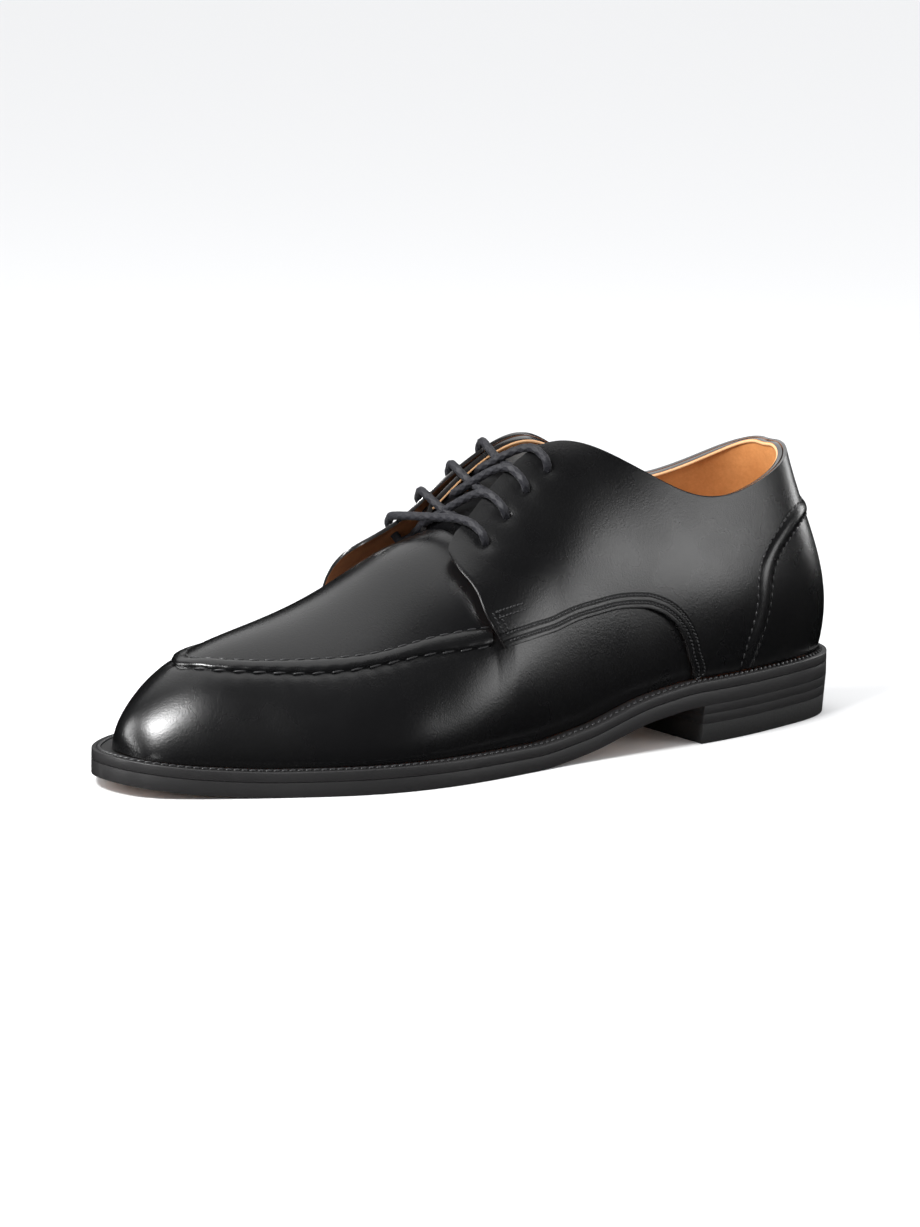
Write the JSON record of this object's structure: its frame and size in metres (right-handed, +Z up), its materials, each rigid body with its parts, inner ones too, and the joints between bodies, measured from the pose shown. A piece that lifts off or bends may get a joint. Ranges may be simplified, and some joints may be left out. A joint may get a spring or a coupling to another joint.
{
  "type": "apron toe derby shoe",
  "caption": "Left low lace-up dress shoe: hollow leather upper with raised apron seam, open-laced quarters, welted sole and stacked heel.",
  "frame": {"origin": "on the floor, under the middle of the outsole's length", "axes": "the toe points along -X, the lateral side faces -Y and the medial side +Y, +Z is up"},
  "size_m": [0.3032, 0.1068, 0.1086],
  "materials": {
    "calf": "black smooth calf, semi-gloss, fine grain",
    "lining": "tan vegetable lining leather, matt",
    "sole_edge": "black inked and waxed sole edge, satin",
    "top_lift": "black rubber top lift",
    "lace": "round waxed cotton lace, black"
  },
  "bodies": {
    "root": {"outsole": "sole_edge", "welt": "sole_edge", "heel_stack": "sole_edge", "top_lift": "top_lift", "insole": "lining", "upper": "calf", "quarter_lateral": "calf", "quarter_medial": "calf", "heel_counter": "calf", "apron_seam": "calf", "counter_seam": "calf", "tongue": "calf", "lace_bar": "lace", "lace_cross_1": "lace", "lace_cross_2": "lace", "lace_cross_3": "lace"}
  },
  "joints": []
}
